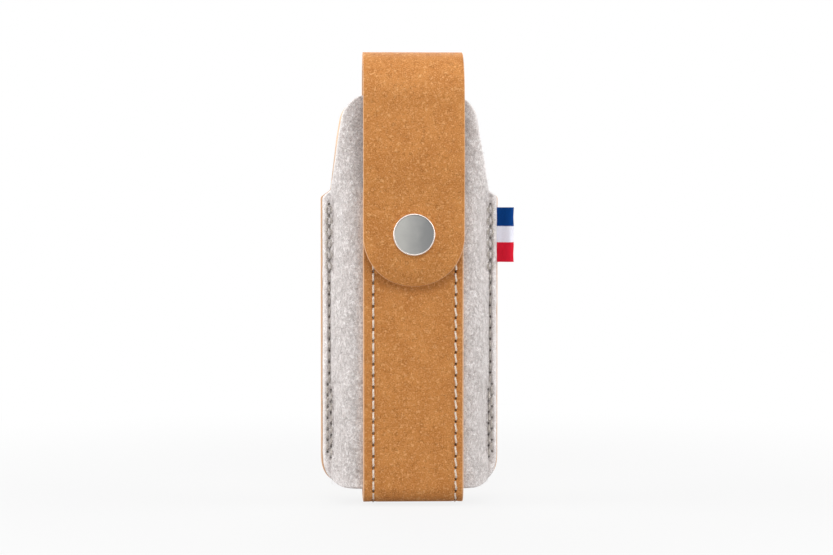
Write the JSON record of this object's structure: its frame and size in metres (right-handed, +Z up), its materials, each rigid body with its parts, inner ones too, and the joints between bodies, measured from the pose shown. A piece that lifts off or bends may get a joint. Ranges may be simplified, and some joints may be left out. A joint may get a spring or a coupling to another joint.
{
  "type": "folding knife belt sheath",
  "caption": "Upright belt sheath for a folding knife: felt front, leather back, a wrap-around strap that makes the belt loop, and a flap closed by a press stud.",
  "frame": {"origin": "middle of the belt slot, between the back panel and the belt loop", "axes": "+Z up along the sheath to the flap's crown, +Y out of the back towards the wearer, front with the flap towards -Y, +X to the right seen from the front"},
  "size_m": [0.058, 0.0357, 0.1359],
  "materials": {
    "felt": "pressed wool felt, pale grey, faintly flecked",
    "leather": "matt bonded leather, tan with light and dark flecks",
    "steel": "satin nickel with a polished rim",
    "ribbon": "woven ribbon in blue, white and red stripes",
    "cream_thread": "twisted cream thread",
    "grey_thread": "twisted pale grey thread"
  },
  "bodies": {
    "pouch": {"front_felt_panel": "felt", "back_panel": "leather", "strap": "leather", "snap_rivet": "steel", "snap_stud": "steel", "ribbon_tab": "ribbon", "left_seam_thread": "grey_thread", "right_seam_thread": "grey_thread", "left_seam_bobbin_thread": "grey_thread", "right_seam_bobbin_thread": "grey_thread", "left_strap_thread": "cream_thread", "right_strap_thread": "cream_thread", "left_strap_bobbin_thread": "cream_thread", "right_strap_bobbin_thread": "cream_thread", "belt_loop_upper_thread": "cream_thread", "belt_loop_lower_thread": "cream_thread", "belt_loop_upper_bobbin_thread": "cream_thread", "belt_loop_lower_bobbin_thread": "cream_thread"},
    "crown": {"flap_crown": "leather"},
    "tongue": {"flap_tongue": "leather", "snap_socket": "steel", "snap_spring": "steel", "snap_cap": "steel"}
  },
  "joints": [
    {"name": "flap_swing", "type": "hinge", "parent": "pouch", "child": "crown", "pos_m": [0, -0.00508, 0.06672], "axis": [-1, 0, 0], "range_deg": [0, 110]},
    {"name": "tongue_lift", "type": "hinge", "parent": "crown", "child": "tongue", "pos_m": [0, -0.02572, 0.06672], "axis": [-1, 0, 0], "range_deg": [0, 88]}
  ],
  "couplings": [
    {"joint": "tongue_lift", "follows": "flap_swing", "ratio": 0.8}
  ]
}
